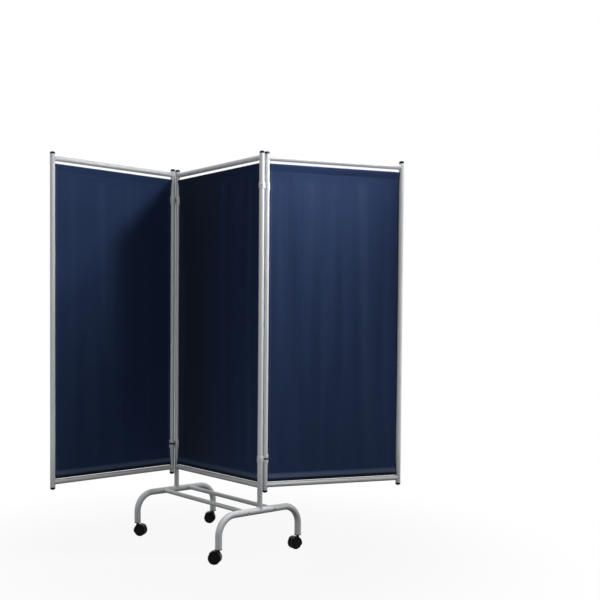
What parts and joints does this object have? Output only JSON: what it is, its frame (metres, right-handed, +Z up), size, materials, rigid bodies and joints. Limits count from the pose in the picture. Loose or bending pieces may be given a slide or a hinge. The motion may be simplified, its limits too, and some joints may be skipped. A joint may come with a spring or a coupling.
{
  "type": "ward privacy screen on wheels",
  "caption": "Folding ward privacy screen: curtained tube panels hinged in a zigzag on a bent-tube base with swivel casters.",
  "frame": {"origin": "on the floor, under the centre of the bounding box of the whole screen in its rest pose", "axes": "+X along the middle panel from its left post to its right post, +Y from the front to the back of the screen, +Z up"},
  "size_m": [0.8948, 1.2924, 1.6998],
  "materials": {
    "silver_paint": "silver powder coat, satin",
    "zinc_steel": "bright zinc plate",
    "navy_vinyl": "matt vinyl-coated cloth, navy",
    "black_plastic": "moulded, satin",
    "black_rubber": "moulded, matt"
  },
  "bodies": {
    "stand": {"middle_left_post": "silver_paint", "middle_right_post": "silver_paint", "middle_left_top_cap": "black_plastic", "middle_right_top_cap": "black_plastic", "middle_top_rail": "silver_paint", "middle_bottom_rail": "silver_paint", "middle_top_rod": "zinc_steel", "middle_bottom_rod": "zinc_steel", "middle_curtain": "navy_vinyl", "left_upper_hinge_bracket": "silver_paint", "left_lower_hinge_bracket": "silver_paint", "right_upper_hinge_bracket": "silver_paint", "right_lower_hinge_bracket": "silver_paint", "left_leg_frame": "silver_paint", "right_leg_frame": "silver_paint", "front_cross_tube": "silver_paint", "rear_cross_tube": "silver_paint", "left_front_bolt": "zinc_steel", "left_rear_bolt": "zinc_steel", "right_front_bolt": "zinc_steel", "right_rear_bolt": "zinc_steel", "left_front_caster_socket": "black_plastic", "left_rear_caster_socket": "black_plastic", "right_front_caster_socket": "black_plastic", "right_rear_caster_socket": "black_plastic"},
    "left_wing": {"left_inner_post": "silver_paint", "left_outer_post": "silver_paint", "left_inner_top_cap": "black_plastic", "left_inner_bottom_cap": "black_plastic", "left_outer_top_cap": "black_plastic", "left_outer_bottom_cap": "black_plastic", "left_top_rail": "silver_paint", "left_bottom_rail": "silver_paint", "left_top_rod": "zinc_steel", "left_bottom_rod": "zinc_steel", "left_curtain": "navy_vinyl"},
    "right_wing": {"right_inner_post": "silver_paint", "right_outer_post": "silver_paint", "right_inner_top_cap": "black_plastic", "right_inner_bottom_cap": "black_plastic", "right_outer_top_cap": "black_plastic", "right_outer_bottom_cap": "black_plastic", "right_top_rail": "silver_paint", "right_bottom_rail": "silver_paint", "right_top_rod": "zinc_steel", "right_bottom_rod": "zinc_steel", "right_curtain": "navy_vinyl"},
    "left_front_caster": {"left_front_caster_fork": "black_plastic"},
    "left_front_inboard": {"left_front_inboard_wheel": "black_rubber"},
    "left_front_outboard": {"left_front_outboard_wheel": "black_rubber"},
    "left_rear_caster": {"left_rear_caster_fork": "black_plastic"},
    "left_rear_inboard": {"left_rear_inboard_wheel": "black_rubber"},
    "left_rear_outboard": {"left_rear_outboard_wheel": "black_rubber"},
    "right_front_caster": {"right_front_caster_fork": "black_plastic"},
    "right_front_inboard": {"right_front_inboard_wheel": "black_rubber"},
    "right_front_outboard": {"right_front_outboard_wheel": "black_rubber"},
    "right_rear_caster": {"right_rear_caster_fork": "black_plastic"},
    "right_rear_inboard": {"right_rear_inboard_wheel": "black_rubber"},
    "right_rear_outboard": {"right_rear_outboard_wheel": "black_rubber"}
  },
  "joints": [
    {"name": "left_wing_hinge", "type": "hinge", "parent": "stand", "child": "left_wing", "pos_m": [-0.40828, -0.00803, 0.98232], "axis": [0, 0, 1], "range_deg": [-92.95, 87.05]},
    {"name": "right_wing_hinge", "type": "hinge", "parent": "stand", "child": "right_wing", "pos_m": [0.21972, 0.04597, 0.98232], "axis": [0, 0, 1], "range_deg": [-69.8, 110.2]},
    {"name": "left_front_swivel", "type": "hinge", "parent": "stand", "child": "left_front_caster", "pos_m": [-0.40828, -0.19553, 0.06], "axis": [0, 0, 1], "continuous": true},
    {"name": "left_front_inboard_spin", "type": "hinge", "parent": "left_front_caster", "child": "left_front_inboard", "pos_m": [-0.39517, -0.18635, 0.026], "axis": [-0.5736, 0.8192, 0], "continuous": true},
    {"name": "left_front_outboard_spin", "type": "hinge", "parent": "left_front_caster", "child": "left_front_outboard", "pos_m": [-0.39517, -0.18635, 0.026], "axis": [-0.5736, 0.8192, 0], "continuous": true},
    {"name": "left_rear_swivel", "type": "hinge", "parent": "stand", "child": "left_rear_caster", "pos_m": [-0.40828, 0.23347, 0.06], "axis": [0, 0, 1], "continuous": true},
    {"name": "left_rear_inboard_spin", "type": "hinge", "parent": "left_rear_caster", "child": "left_rear_inboard", "pos_m": [-0.41856, 0.22121, 0.026], "axis": [0.766, -0.6428, 0], "continuous": true},
    {"name": "left_rear_outboard_spin", "type": "hinge", "parent": "left_rear_caster", "child": "left_rear_outboard", "pos_m": [-0.41856, 0.22121, 0.026], "axis": [0.766, -0.6428, 0], "continuous": true},
    {"name": "right_front_swivel", "type": "hinge", "parent": "stand", "child": "right_front_caster", "pos_m": [0.21972, -0.19553, 0.06], "axis": [0, 0, 1], "continuous": true},
    {"name": "right_front_inboard_spin", "type": "hinge", "parent": "right_front_caster", "child": "right_front_inboard", "pos_m": [0.20783, -0.20624, 0.026], "axis": [0.6691, -0.7431, 0], "continuous": true},
    {"name": "right_front_outboard_spin", "type": "hinge", "parent": "right_front_caster", "child": "right_front_outboard", "pos_m": [0.20783, -0.20624, 0.026], "axis": [0.6691, -0.7431, 0], "continuous": true},
    {"name": "right_rear_swivel", "type": "hinge", "parent": "stand", "child": "right_rear_caster", "pos_m": [0.21972, 0.23347, 0.06], "axis": [0, 0, 1], "continuous": true},
    {"name": "right_rear_inboard_spin", "type": "hinge", "parent": "right_rear_caster", "child": "right_rear_inboard", "pos_m": [0.2175, 0.21763, 0.026], "axis": [0.9903, -0.1392, 0], "continuous": true},
    {"name": "right_rear_outboard_spin", "type": "hinge", "parent": "right_rear_caster", "child": "right_rear_outboard", "pos_m": [0.2175, 0.21763, 0.026], "axis": [0.9903, -0.1392, 0], "continuous": true}
  ]
}
